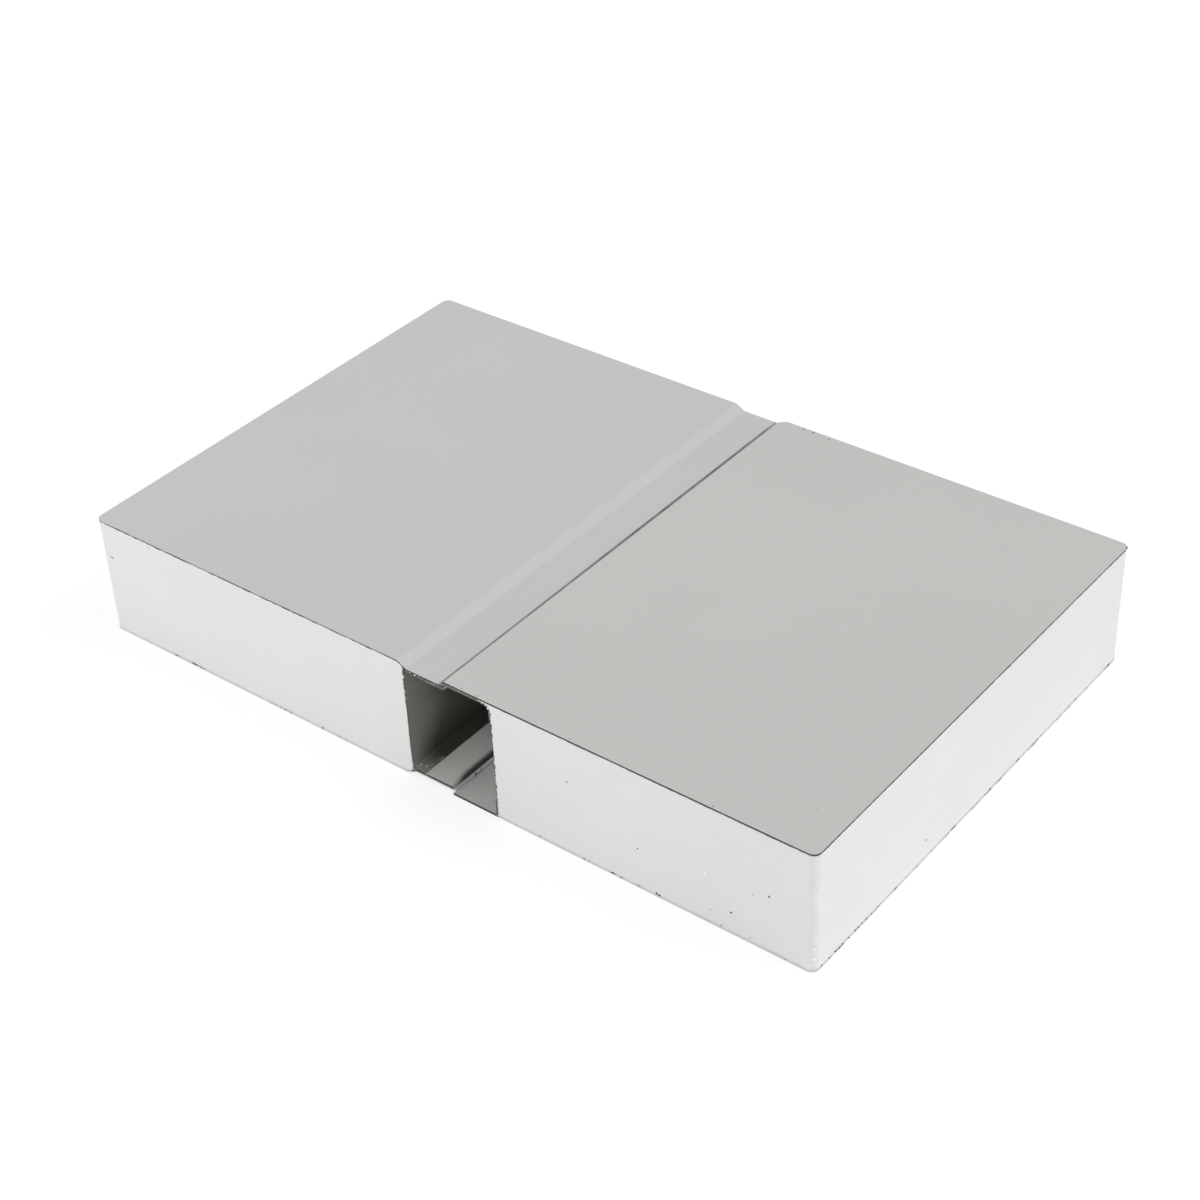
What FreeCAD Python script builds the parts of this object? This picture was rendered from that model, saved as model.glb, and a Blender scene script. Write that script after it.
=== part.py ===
import FreeCAD, Part
import math
import os
import Sketcher

# Insulated sandwich panel, a cut sample across the joint of two lengths.
# The left length ends in a pair of tongues, and the right length in a pair of grooves.
# Frame: origin at the middle of the underside, +X along the sample, +Y across it, +Z up. Millimetres.

DRIVING = {
    # the sample
    "panel_thickness": 50,
    "sample_width": 200,
    "left_core_length": 152,
    "right_core_length": 129.5,
    "cut_corner_radius": 3,
    # the steel sheet
    "sheet_gauge": 0.5,
    # the hems that stiffen the edges, and the room between a hem and the tongue behind it
    "upper_hem_gap": 0.7,
    "upper_hem_clearance": 0.5,
    "lower_hem_gap": 0.1,
    "lower_hem_clearance": 1.5,
    # the left length's tongues, measured from its core's end face
    "tongue_reach": 18.8,
    "step_run": 4,
    "step_end": 1.7,
    "step_bend_radius": 2,
    # the channel that closes the left core's end face, and the room between its feet and the hems
    "channel_foot": 5.5,
    "foot_clearance": 1,
    "channel_bend_radius": 1,
    # the right length's grooves, measured from its core's end face
    "groove_reach": 20.2,
    "lip_depth": 7.5,
    "upper_lip_bend_radius": 2.3,
    "lower_lip_bend_radius": 0.8,
    "wedge_reach": 2.7,
    "hem_corner_trim": 3.3,
    # how far the tongues stand inside the grooves
    "tongue_entry": 0.5,
}

TOLERANCE = 1e-4
UPPER, LOWER = 1, -1
# how a sketch names its origin, and the ends and centre of a line or arc
ORIGIN, START, END, CENTRE = -1, 1, 2, 3

doc = FreeCAD.newDocument("sandwich_panel")
sheet = doc.addObject("Spreadsheet::Sheet", "Sizes")
for row, (alias, number) in enumerate(DRIVING.items(), start=1):
    sheet.set(f"A{row}", alias)
    sheet.set(f"B{row}", str(number))
    sheet.setAlias(f"B{row}", alias)
doc.recompute()


class Size:
    """A length worked out from the sheet: its value now, and the expression that ties it to the sheet."""

    def __init__(self, value, text):
        self.value = value
        self.text = text

    def __add__(self, other):
        return Size(self.value + other.value, f"({self.text} + {other.text})")

    def __sub__(self, other):
        return Size(self.value - other.value, f"({self.text} - {other.text})")

    def __mul__(self, number):
        return Size(self.value * number, f"({self.text} * {number})")

    def __truediv__(self, number):
        return Size(self.value / number, f"({self.text} / {number})")

    def __neg__(self):
        return self * -1

    def share(self, part, whole):
        """This length times part over whole."""
        text = f"({self.text} * {part.text} / {whole.text})"
        return Size(self.value * part.value / whole.value, text)

    def slant(self, other):
        """The long side of a right angle whose short sides are this length and the other."""
        text = f"sqrt({self.text} * {self.text} + {other.text} * {other.text})"
        return Size(math.hypot(self.value, other.value), text)


def size(alias):
    return Size(float(sheet.get(alias)), f"{sheet.Name}.{alias}")


thickness = size("panel_thickness")
width = size("sample_width")
gauge = size("sheet_gauge")
left_length = size("left_core_length")
right_length = size("right_core_length")
corner_radius = size("cut_corner_radius")
tongue_reach = size("tongue_reach")
groove_reach = size("groove_reach")
step_run = size("step_run")
step_end = size("step_end")
step_inner = size("step_bend_radius")
step_outer = step_inner + gauge
channel_inner = size("channel_bend_radius")
channel_outer = channel_inner + gauge
trim = size("hem_corner_trim")

# Heights are measured from the panel's middle plane, outwards on either side.
outer_face = thickness / 2
core_face = outer_face - gauge

# Places along the sample. Each length is drawn from the end face of its own core.
core_end = Size(0, "0")
joint_width = tongue_reach + groove_reach - size("tongue_entry")
sample_length = left_length + joint_width + right_length
left_face = left_length - sample_length / 2
right_face = left_face + joint_width
step_start = step_end - step_run


class Side:
    """The heights of the joint on one side of the middle plane, the upper side or the lower side."""

    def __init__(self, sign, word):
        self.sign = sign
        self.word = word
        # A hem is two thicknesses of sheet and the gap between them. A tongue runs one hem and
        # a clearance inside the panel's face, so that it slides in behind the next length's hem.
        self.hem = gauge * 2 + size(f"{word}_hem_gap")
        self.step_drop = self.hem + size(f"{word}_hem_clearance")
        self.tongue_outer = outer_face - self.step_drop
        self.tongue_inner = self.tongue_outer - gauge
        self.lip_inner = size(f"{word}_lip_bend_radius")
        self.lip_outer = self.lip_inner + gauge
        # The step's inner corners sit back from its outer ones, so that the sheet keeps its gauge.
        self.mitre = gauge.share(step_run.slant(self.step_drop) - step_run, self.step_drop)


upper = Side(UPPER, "upper")
lower = Side(LOWER, "lower")


class Corner:
    """A sharp corner of an outline, at u along the sketch's first axis and v along its second."""

    def __init__(self, u, v):
        self.u = u
        self.arrive_v = self.leave_v = v


class Bend(Corner):
    """A square corner of an outline, rounded with a radius."""

    def __init__(self, u, v, radius):
        super().__init__(u, v)
        self.radius = radius


class Fold(Corner):
    """The half turn of a hem about a centre at u, from one level line back to another."""

    def __init__(self, centre_u, arrive_v, leave_v):
        super().__init__(centre_u, arrive_v)
        self.leave_v = leave_v


def vector(u, v):
    return FreeCAD.Vector(u.value, v.value, 0)


def heading(start, end):
    return (end - start).normalize()


def corner_arc(corner, before, after):
    """The arc at a corner, from where the outline reaches it to where it leaves, or None if it is sharp."""
    arrive = vector(corner.u, corner.arrive_v)
    leave = vector(corner.u, corner.leave_v)
    way_in = heading(vector(before.u, before.leave_v), arrive)
    way_out = heading(leave, vector(after.u, after.arrive_v))
    if isinstance(corner, Fold):
        middle = (arrive + leave) / 2 + way_in * (arrive - leave).Length / 2
        return Part.Arc(arrive, middle, leave)
    if isinstance(corner, Bend):
        radius = corner.radius.value
        start = arrive - way_in * radius
        end = leave + way_out * radius
        centre = start + way_out * radius
        return Part.Arc(start, centre + (way_in - way_out).normalize() * radius, end)
    return None


def hold(sketch, kind, geometry, point, distance):
    """Keep a point of the sketch at a distance from its origin, on whichever side of it the point is."""
    if distance.value < 0:
        distance = -distance
        place = Sketcher.Constraint(kind, geometry, point, ORIGIN, START, distance.value)
    else:
        place = Sketcher.Constraint(kind, ORIGIN, START, geometry, point, distance.value)
    index = sketch.addConstraint(place)
    sketch.setExpression(f"Constraints[{index}]", distance.text)


def draw_outline(sketch, corners):
    """Draw a closed outline through the corners, with every line and arc held by the sheet's sizes."""
    count = len(corners)
    arcs = [corner_arc(corners[i], corners[i - 1], corners[(i + 1) % count]) for i in range(count)]
    arc_index = [None if arc is None else sketch.addGeometry(arc) for arc in arcs]
    line_index, level, upright = [], [], []
    for i, corner in enumerate(corners):
        after = corners[(i + 1) % count]
        next_arc = arcs[(i + 1) % count]
        start = arcs[i].EndPoint if arcs[i] else vector(corner.u, corner.leave_v)
        end = next_arc.StartPoint if next_arc else vector(after.u, after.arrive_v)
        line = sketch.addGeometry(Part.LineSegment(start, end))
        line_index.append(line)
        level.append(abs(corner.leave_v.value - after.arrive_v.value) < TOLERANCE)
        upright.append(abs(corner.u.value - after.u.value) < TOLERANCE)
        if level[i]:
            sketch.addConstraint(Sketcher.Constraint("Horizontal", line))
        if upright[i]:
            sketch.addConstraint(Sketcher.Constraint("Vertical", line))

    for i in range(count):
        line_in, line_out = line_index[i - 1], line_index[i]
        if arcs[i] is None:
            sketch.addConstraint(Sketcher.Constraint("Coincident", line_in, END, line_out, START))
        else:
            counterclockwise = sketch.Geometry[arc_index[i]].Axis.z > 0
            first, last = (START, END) if counterclockwise else (END, START)
            sketch.addConstraint(Sketcher.Constraint("Tangent", line_in, END, arc_index[i], first))
            sketch.addConstraint(Sketcher.Constraint("Tangent", arc_index[i], last, line_out, START))

    for i, corner in enumerate(corners):
        if isinstance(corner, Fold):
            hold(sketch, "DistanceX", arc_index[i], CENTRE, corner.u)
        if isinstance(corner, Bend):
            index = sketch.addConstraint(Sketcher.Constraint("Radius", arc_index[i], corner.radius.value))
            sketch.setExpression(f"Constraints[{index}]", corner.radius.text)
        sharp = arcs[i] is None
        if upright[i] or (sharp and not upright[i - 1]):
            hold(sketch, "DistanceX", line_index[i], START, corner.u)
        if level[i] or (sharp and not level[i - 1]):
            hold(sketch, "DistanceY", line_index[i], START, corner.leave_v)


def outline_on_plane(body, role, name, corners):
    """A sketch of the outline on one of the body's own planes."""
    sketch = body.newObject("Sketcher::SketchObject", f"{body.Name}_{name}")
    plane = next(feature for feature in body.Origin.OriginFeatures if feature.Role == role)
    sketch.AttachmentSupport = [(plane, "")]
    sketch.MapMode = "FlatFace"
    draw_outline(sketch, corners)
    return sketch


def panel_piece(name, face_x, corners):
    """A body whose section runs right across the panel, drawn from its length's core end face."""
    body = doc.addObject("PartDesign::Body", name)
    body.Label = name
    body.setExpression(".Placement.Base.x", face_x.text)
    body.setExpression(".Placement.Base.z", outer_face.text)
    pad = body.newObject("PartDesign::Pad", f"{name}_run")
    pad.Profile = outline_on_plane(body, "XZ_Plane", "section", corners)
    pad.SideType = "Symmetric"
    pad.setExpression("Length", width.text)
    doc.recompute()
    return body


def round_edges(body, name, radius, belongs):
    """Round the edges of the body's last feature that belong to a chosen set."""
    base = body.Tip
    edges = [f"Edge{i}" for i, edge in enumerate(base.Shape.Edges, start=1) if belongs(edge)]
    fillet = body.newObject("PartDesign::Fillet", f"{body.Name}_{name}")
    fillet.Base = (base, edges)
    fillet.setExpression("Radius", radius.text)
    doc.recompute()


def round_cut_corners(body, end_x):
    """Round the two upright corners at the sample's sawn end."""
    def belongs(edge):
        points = [vertex.Point for vertex in edge.Vertexes]
        at_end = all(abs(point.x - end_x.value) < TOLERANCE for point in points)
        at_side = all(abs(abs(point.y) - width.value / 2) < TOLERANCE for point in points)
        return at_end and at_side and abs(points[0].z - points[-1].z) > TOLERANCE
    round_edges(body, "cut_corners", corner_radius, belongs)


def round_section_corners(body, name, radius, places):
    """Round the edges that run across the panel at the given corners of its section."""
    def belongs(edge):
        points = [vertex.Point for vertex in edge.Vertexes]
        return any(all(math.dist((point.x, point.z), (u.value, v.value)) < TOLERANCE for point in points)
                   for u, v in places)
    round_edges(body, name, radius, belongs)


def tongue_skin(name, side):
    """A skin of the left length: flat, stepped towards the core, then a tongue hemmed back under itself."""
    sign = side.sign
    nose_centre = tongue_reach - side.hem / 2
    return_end = size("channel_foot") + size("foot_clearance")
    return_outer = side.tongue_outer - side.hem
    return_inner = return_outer + gauge
    inner_start = step_start - side.mitre
    inner_end = step_end - side.mitre
    skin = panel_piece(name, left_face, [
        Corner(-left_length, outer_face * sign),
        Corner(step_start, outer_face * sign),
        Corner(step_end, side.tongue_outer * sign),
        Fold(nose_centre, side.tongue_outer * sign, return_outer * sign),
        Corner(return_end, return_outer * sign),
        Corner(return_end, return_inner * sign),
        Fold(nose_centre, return_inner * sign, side.tongue_inner * sign),
        Corner(inner_end, side.tongue_inner * sign),
        Corner(inner_start, core_face * sign),
        Corner(-left_length, core_face * sign),
    ])
    round_cut_corners(skin, -left_length)
    round_section_corners(skin, "outside_of_step", step_outer, [
        (step_start, outer_face * sign),
        (inner_end, side.tongue_inner * sign),
    ])
    round_section_corners(skin, "inside_of_step", step_inner, [
        (inner_start, core_face * sign),
        (step_end, side.tongue_outer * sign),
    ])
    return skin


def groove_skin(name, side):
    """A skin of the right length: flat, hemmed back under itself, then bent down the core's face to a lip."""
    sign = side.sign
    nose_centre = side.hem / 2 - groove_reach
    return_outer = outer_face - side.hem
    return_inner = return_outer + gauge
    lip_end = outer_face - size("lip_depth")
    lip_front = core_end - gauge
    skin = panel_piece(name, right_face, [
        Corner(right_length, outer_face * sign),
        Fold(nose_centre, outer_face * sign, return_outer * sign),
        Bend(lip_front, return_outer * sign, side.lip_inner),
        Corner(lip_front, lip_end * sign),
        Corner(core_end, lip_end * sign),
        Bend(core_end, return_inner * sign, side.lip_outer),
        Fold(nose_centre, return_inner * sign, core_face * sign),
        Corner(right_length, core_face * sign),
    ])
    round_cut_corners(skin, right_length)
    return skin


def trim_hem_corner(skin):
    """Clip the hem's corner at the far end, right through both layers of sheet."""
    left = -groove_reach - trim
    back = width / 2 + trim
    triangle = [
        Corner(left, back),
        Corner(left, back - trim * 3),
        Corner(left + trim * 3, back),
    ]
    pocket = skin.newObject("PartDesign::Pocket", f"{skin.Name}_trim")
    pocket.Profile = outline_on_plane(skin, "XY_Plane", "trim_outline", triangle)
    pocket.Type = "ThroughAll"
    pocket.SideType = "Symmetric"
    doc.recompute()


def left_foam():
    """The left length's foam block, its end following the steps of both skins."""
    def corner_height(side):
        return core_face - side.step_drop.share(side.mitre - step_start, step_run)

    core = panel_piece("left_core", left_face, [
        Corner(-left_length, core_face),
        Corner(step_start - upper.mitre, core_face),
        Corner(core_end, corner_height(upper)),
        Corner(core_end, -corner_height(lower)),
        Corner(step_start - lower.mitre, -core_face),
        Corner(-left_length, -core_face),
    ])
    round_cut_corners(core, -left_length)
    round_section_corners(core, "step_bends", step_inner, [
        (step_start - upper.mitre, core_face),
        (step_start - lower.mitre, -core_face),
    ])
    return core


def right_foam():
    """The right length's foam block, with a wedge that fills the space over each lip's bend."""
    def wedge_tip(side):
        return core_end - side.lip_outer - size("wedge_reach")

    over_bend = outer_face - upper.hem + gauge
    under_bend = lower.hem - outer_face - gauge
    core = panel_piece("right_core", right_face, [
        Corner(right_length, core_face),
        Corner(wedge_tip(upper), core_face),
        Corner(wedge_tip(upper), over_bend),
        Bend(core_end, over_bend, upper.lip_outer),
        Bend(core_end, under_bend, lower.lip_outer),
        Corner(wedge_tip(lower), under_bend),
        Corner(wedge_tip(lower), -core_face),
        Corner(right_length, -core_face),
    ])
    round_cut_corners(core, right_length)
    return core


def edge_channel():
    """The C-shaped strip that closes the left core's end, its feet lying on the tongues' inner faces."""
    web_front = core_end + gauge
    foot_end = size("channel_foot")
    foot_top, foot_bottom = upper.tongue_inner, -lower.tongue_inner
    return panel_piece("edge_channel", left_face, [
        Corner(foot_end, foot_top),
        Bend(core_end, foot_top, channel_outer),
        Bend(core_end, foot_bottom, channel_outer),
        Corner(foot_end, foot_bottom),
        Corner(foot_end, foot_bottom + gauge),
        Bend(web_front, foot_bottom + gauge, channel_inner),
        Bend(web_front, foot_top - gauge, channel_inner),
        Corner(foot_end, foot_top - gauge),
    ])


right_top_skin = groove_skin("right_top_skin", upper)
trim_hem_corner(right_top_skin)
pieces = [
    left_foam(),
    tongue_skin("left_top_skin", upper),
    tongue_skin("left_bottom_skin", lower),
    edge_channel(),
    right_foam(),
    right_top_skin,
    groove_skin("right_bottom_skin", lower),
]
doc.recompute()

for item in doc.Objects:
    if "Invalid" in item.State or "Error" in item.State:
        raise RuntimeError(f"{item.Name} failed: {item.State}")
for piece in pieces:
    if piece.Shape.isNull() or not piece.Shape.isValid():
        raise RuntimeError(f"{piece.Label} has no sound shape")

os.makedirs("parts", exist_ok=True)
for piece in pieces:
    piece.Shape.exportStep(f"parts/{piece.Label}.step")
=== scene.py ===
import math
import random

import bmesh
import bpy
import numpy as np
from mathutils import Euler, Matrix, Vector, noise


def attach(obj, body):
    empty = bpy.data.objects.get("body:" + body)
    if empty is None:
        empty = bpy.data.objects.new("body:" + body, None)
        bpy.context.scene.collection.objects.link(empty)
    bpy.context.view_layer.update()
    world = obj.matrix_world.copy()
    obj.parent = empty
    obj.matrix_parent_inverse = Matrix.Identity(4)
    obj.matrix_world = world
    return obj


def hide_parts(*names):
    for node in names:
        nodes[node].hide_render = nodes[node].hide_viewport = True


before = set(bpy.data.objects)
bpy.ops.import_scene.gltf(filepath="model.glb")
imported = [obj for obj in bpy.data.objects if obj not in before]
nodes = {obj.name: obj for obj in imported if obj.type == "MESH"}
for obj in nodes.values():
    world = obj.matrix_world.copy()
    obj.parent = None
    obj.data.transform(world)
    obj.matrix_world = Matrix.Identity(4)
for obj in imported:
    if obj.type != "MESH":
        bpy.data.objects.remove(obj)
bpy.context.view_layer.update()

# Shapes. Their sizes and places are in millimetres, and smooth_mesh turns them into metres.
MM = 0.001

# The sample
HALF_WIDTH = 100.0
SAWN_END = 160.0
TOP_FACE = 50.0
CORE_BOTTOM, CORE_TOP = 0.5, 49.5
CUT_CORNER_RADIUS = 3.0

# The left core's end, which follows the steps of its skins
LEFT_FACE = -8.0
STEP_RUN, STEP_BEND = 4.0, 2.0
UPPER_STEP_START, UPPER_STEP_DROP = -10.43, 2.2
LOWER_STEP_START, LOWER_STEP_DROP = -10.45, 2.6

# The right core's end, with a wedge over each lip's bend
RIGHT_FACE = 30.5
WEDGE_REACH = 2.7
UPPER_LIP_BEND, LOWER_LIP_BEND = 2.8, 1.3
UPPER_RETURN_LEG, LOWER_RETURN_LEG = 48.8, 0.6

SHARP_ANGLE = math.radians(48)


def link(obj):
    bpy.context.scene.collection.objects.link(obj)
    return obj


def smooth_mesh(name, points, faces):
    """An object from points in millimetres, smooth but for its sharp edges."""
    mesh = bpy.data.meshes.new(name)
    mesh.from_pydata([(x * MM, y * MM, z * MM) for x, y, z in points], [], faces)
    mesh.validate()
    mesh.polygons.foreach_set("use_smooth", [True] * len(mesh.polygons))
    mesh.set_sharp_from_angle(angle=SHARP_ANGLE)
    return link(bpy.data.objects.new(name, mesh))


def clamp(value, low=0.0, high=1.0):
    return max(low, min(high, value))


def fade(value, start, end):
    """0 before start and 1 after end, with a smooth rise between them."""
    t = clamp((value - start) / (end - start))
    return t * t * (3 - 2 * t)


def rough(*place):
    """Smooth noise about zero, at a place of three numbers."""
    return noise.noise(Vector(place))


# The foam blocks

# How finely they are meshed on the sawn faces, and in the joint where it is hidden or seen
CELL, HIDDEN_CELL, SEEN_JOINT_CELL = 0.66, 2.0, 1.0
ARC_STEPS = 8
# Rows beside a skin, measured from it
NEAR_ROWS = [0.0, 0.12, 0.26, 0.42, 0.62, 0.9, 1.3]
# The two rows at a wedge's flat side, how far other rows stay from them, and the gap to the metal
SHELF = 0.04
ROW_CLEARANCE = 0.4 * SHELF
CONTACT_INSET = 0.015
# How far from the joint its end's shape fades out, and the cells that each cap's two end faces take in
JOINT_BLEND = 6.0
CAP_START, CAP_END = 10, 2


def left_joint_x(z):
    """Where the left core ends at a height: upright, then leaning back along the steps."""
    def along_step(depth, start, drop):
        slope = drop / STEP_RUN
        angle = math.atan(slope)
        if depth > STEP_BEND * (1 - math.cos(angle)):
            return start + depth / slope
        bend_start = start - STEP_BEND * math.tan(angle / 2)
        return bend_start + math.sqrt(STEP_BEND ** 2 - (STEP_BEND - depth) ** 2)
    upper = along_step(CORE_TOP - z, UPPER_STEP_START, UPPER_STEP_DROP)
    lower = along_step(z - CORE_BOTTOM, LOWER_STEP_START, LOWER_STEP_DROP)
    return min(LEFT_FACE, upper, lower) - CONTACT_INSET


def right_joint_x(z):
    """Where the right core starts at a height: upright, then over each lip's bend to a thin wedge."""
    def over_bend(depth, leg, bend):
        if depth < leg - SHELF / 2:
            return RIGHT_FACE - bend - WEDGE_REACH
        if depth < leg + bend:
            rise = min(bend, bend - (depth - leg))
            return RIGHT_FACE - bend + math.sqrt(bend ** 2 - rise ** 2)
        return RIGHT_FACE
    upper = over_bend(CORE_TOP - z, CORE_TOP - UPPER_RETURN_LEG, UPPER_LIP_BEND)
    lower = over_bend(z - CORE_BOTTOM, LOWER_RETURN_LEG - CORE_BOTTOM, LOWER_LIP_BEND)
    return min(upper, lower) + CONTACT_INSET


def row_heights(extra):
    """Heights of the foam's rows: close together near the skins, even between them, and the extra ones."""
    low = [CORE_BOTTOM + CONTACT_INSET + step for step in NEAR_ROWS]
    high = [CORE_TOP - CONTACT_INSET - step for step in NEAR_ROWS]
    count = round((min(high) - max(low)) / CELL)
    middle = [float(z) for z in np.linspace(max(low), min(high), count + 1)[1:-1]]
    rows = [z for z in low + middle + high if all(abs(z - place) > ROW_CLEARANCE for place in extra)]
    return sorted(rows + extra)


def sawn_path(direction, joint_x, cell):
    """The sawn sides of one length seen from above, from the joint's front corner round to its back corner.
    Each place is (x, y, normal x, normal y). The second result counts the steps along the front."""
    end = direction * SAWN_END
    arc_x = end - direction * CUT_CORNER_RADIUS
    arc_y = HALF_WIDTH - CUT_CORNER_RADIUS
    front_count = round(abs(arc_x - joint_x) / cell)
    end_count = round(2 * arc_y / cell)
    path = [(x, -HALF_WIDTH, 0.0, -1.0) for x in np.linspace(joint_x, arc_x, front_count + 1)]
    for k in range(1, ARC_STEPS):
        angle = math.pi / 2 * k / ARC_STEPS
        nx, ny = direction * math.sin(angle), -math.cos(angle)
        path.append((arc_x + CUT_CORNER_RADIUS * nx, -arc_y + CUT_CORNER_RADIUS * ny, nx, ny))
    mirrored = [(x, -y, nx, -ny) for x, y, nx, ny in reversed(path)]
    path += [(end, y, direction, 0.0) for y in np.linspace(-arc_y, arc_y, end_count + 1)]
    return path + mirrored, front_count


def path_lengths(path):
    """How far along the path each of its places is."""
    steps = [math.dist(after[:2], before[:2]) for before, after in zip(path, path[1:])]
    return np.cumsum([0.0] + steps)


# Depths and lengths of the foam's relief. A slice sets one noise apart from another.
BASE_INSET = 0.12
WAVE_DEPTH, WAVE_LENGTH = 0.06, 34.0
SAW_DEPTH, SAW_LENGTH, SAW_HEIGHT, SAW_SLICE = 0.010, 1.9, 60.0, 7.0
BEAD_SIZE, BEAD_GROOVE, BEAD_SEAM = 3.6, 0.022, 0.28
GRAIN_DEPTH, GRAIN_SIZE = 0.014, 1.3


def foam_relief(x, y, z, nx, ny):
    """How far the cut foam lies inside its outline at a point, before its pits and torn edges."""
    place = Vector((x, y, z))
    wave = WAVE_DEPTH * noise.noise(place / WAVE_LENGTH)
    along = x * abs(ny) + y * abs(nx)
    saw = SAW_DEPTH * rough(along / SAW_LENGTH, z / SAW_HEIGHT, SAW_SLICE)
    nearest = noise.voronoi(place / BEAD_SIZE)[0]
    seam = clamp(1 - (nearest[1] - nearest[0]) / BEAD_SEAM)
    grain = GRAIN_DEPTH * noise.noise(place / GRAIN_SIZE)
    return BASE_INSET + wave + saw + BEAD_GROOVE * seam * seam + grain


# The recess beside a skin, as shares of its depth, and how far from the skin it fades out
RECESS_MEAN, RECESS_LEAST, RECESS_MOST = 0.55, 0.15, 1.2
RECESS_FINE, RECESS_FINE_LENGTH, RECESS_FINE_SLICE = 0.45, 2.3, 3.0
RECESS_BROAD, RECESS_BROAD_LENGTH, RECESS_BROAD_SLICE = 0.3, 9.0, 8.0
RECESS_FADE = 0.05, 0.75
# The lower recess, and the shift that makes its pattern differ from the upper one's
LOWER_RECESS, LOWER_SHIFT = 0.22, 40.0


def edge_recess(x, y, depth, reach):
    """The extra depth beside a skin, where the saw pulled the foam away: ragged along the edge."""
    fine = RECESS_FINE * rough(x / RECESS_FINE_LENGTH, y / RECESS_FINE_LENGTH, RECESS_FINE_SLICE)
    broad = RECESS_BROAD * rough(x / RECESS_BROAD_LENGTH, y / RECESS_BROAD_LENGTH, RECESS_BROAD_SLICE)
    ragged = clamp(RECESS_MEAN + fine + broad, RECESS_LEAST, RECESS_MOST)
    return depth * ragged * (1 - fade(reach, *RECESS_FADE))


PIT_COUNT = 110
PIT_HEIGHTS, PIT_SIZES, PIT_SHARES = (2, 48), (0.5, 1.2), (0.08, 0.26)


def cut_pits(depths, along, rows, draws):
    """Press small round hollows into the sawn faces."""
    heights = np.array(rows)[:, None]
    for _ in range(PIT_COUNT):
        place = draws.uniform(0, along[-1])
        height = draws.uniform(*PIT_HEIGHTS)
        size = draws.uniform(*PIT_SIZES)
        deep = draws.uniform(*PIT_SHARES) * size
        distance = np.hypot(heights - height, along[None, :] - place) / size
        depths += deep * np.clip(1 - distance * distance, 0, 1)


# The wear of the battered corner at the front right, and how far round the corner it reaches
BATTERED_DEPTH, BATTERED_ROUGHNESS, BATTERED_TURN = 0.06, 0.42, (0.02, 0.4)
FINE_WEAR, FINE_WEAR_HEIGHT = 1.6, 2.2
BROAD_WEAR, BROAD_WEAR_HEIGHT, BROAD_WEAR_SHARE = 5.0, 6.0, 0.6


def batter_corner(depths, path, rows):
    """Wear away the rounded front corner unevenly."""
    for i, (x, y, nx, ny) in enumerate(path):
        share = fade(abs(nx * ny), *BATTERED_TURN) if y < 0 else 0.0
        if not share:
            continue
        for j, z in enumerate(rows):
            fine = abs(rough(x / FINE_WEAR, y / FINE_WEAR, z / FINE_WEAR_HEIGHT))
            broad = BROAD_WEAR_SHARE * rough(x / BROAD_WEAR, y / BROAD_WEAR, z / BROAD_WEAR_HEIGHT)
            depths[j, i] += share * (BATTERED_DEPTH + BATTERED_ROUGHNESS * (fine + broad))


def sawn_depths(path, rows, top_recess, battered, draws):
    """How far each point of the sawn faces lies inside the block's outline, row by row."""
    depths = np.zeros((len(rows), len(path)))
    for j, z in enumerate(rows):
        for i, (x, y, nx, ny) in enumerate(path):
            upper = edge_recess(x, y, top_recess, CORE_TOP - z)
            lower = edge_recess(x + LOWER_SHIFT, y, LOWER_RECESS, z - CORE_BOTTOM)
            depths[j, i] = foam_relief(x, y, z, nx, ny) + upper + lower
    cut_pits(depths, path_lengths(path), rows, draws)
    if battered:
        batter_corner(depths, path, rows)
    return depths


# The torn edge at the joint
TORN_DEPTH, TORN_REACH = 1.1, 2.0
TORN_LENGTH, TORN_FINE_LENGTH, TORN_FINE, TORN_FINE_SLICE = 1.1, 0.5, 0.6, 9


def torn_back(x, y, z, joint_x, seed):
    """How far the sawn foam is torn back from the joint at a point near it."""
    near = clamp(1 - abs(x - joint_x) / TORN_REACH)
    coarse = abs(rough(z / TORN_LENGTH, y, seed))
    fine = TORN_FINE * abs(rough(z / TORN_FINE_LENGTH, y, seed + TORN_FINE_SLICE))
    return near * near * TORN_DEPTH * (coarse + fine)


def block_faces(direction, row_count, count, sawn_count, front_count):
    """A block's faces: its sides, then its two caps, each of strips across it with a face at either end."""
    faces = []
    for j in range(row_count - 1):
        for i in range(count):
            k = (i + 1) % count
            faces.append((j * count + i, j * count + k, (j + 1) * count + k, (j + 1) * count + i))

    def back(i):
        return sawn_count - 1 - i

    first, last = CAP_START, front_count - CAP_END
    cap = [(i, i + 1, back(i + 1), back(i)) for i in range(first, last)]
    cap.append(tuple(range(last, back(last) + 1)))
    cap.append((*range(back(first), count), *range(first + 1)))
    top = (row_count - 1) * count
    faces += [face[::-1] for face in cap]
    faces += [tuple(top + i for i in face) for face in cap]
    return faces if direction > 0 else [face[::-1] for face in faces]


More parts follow.
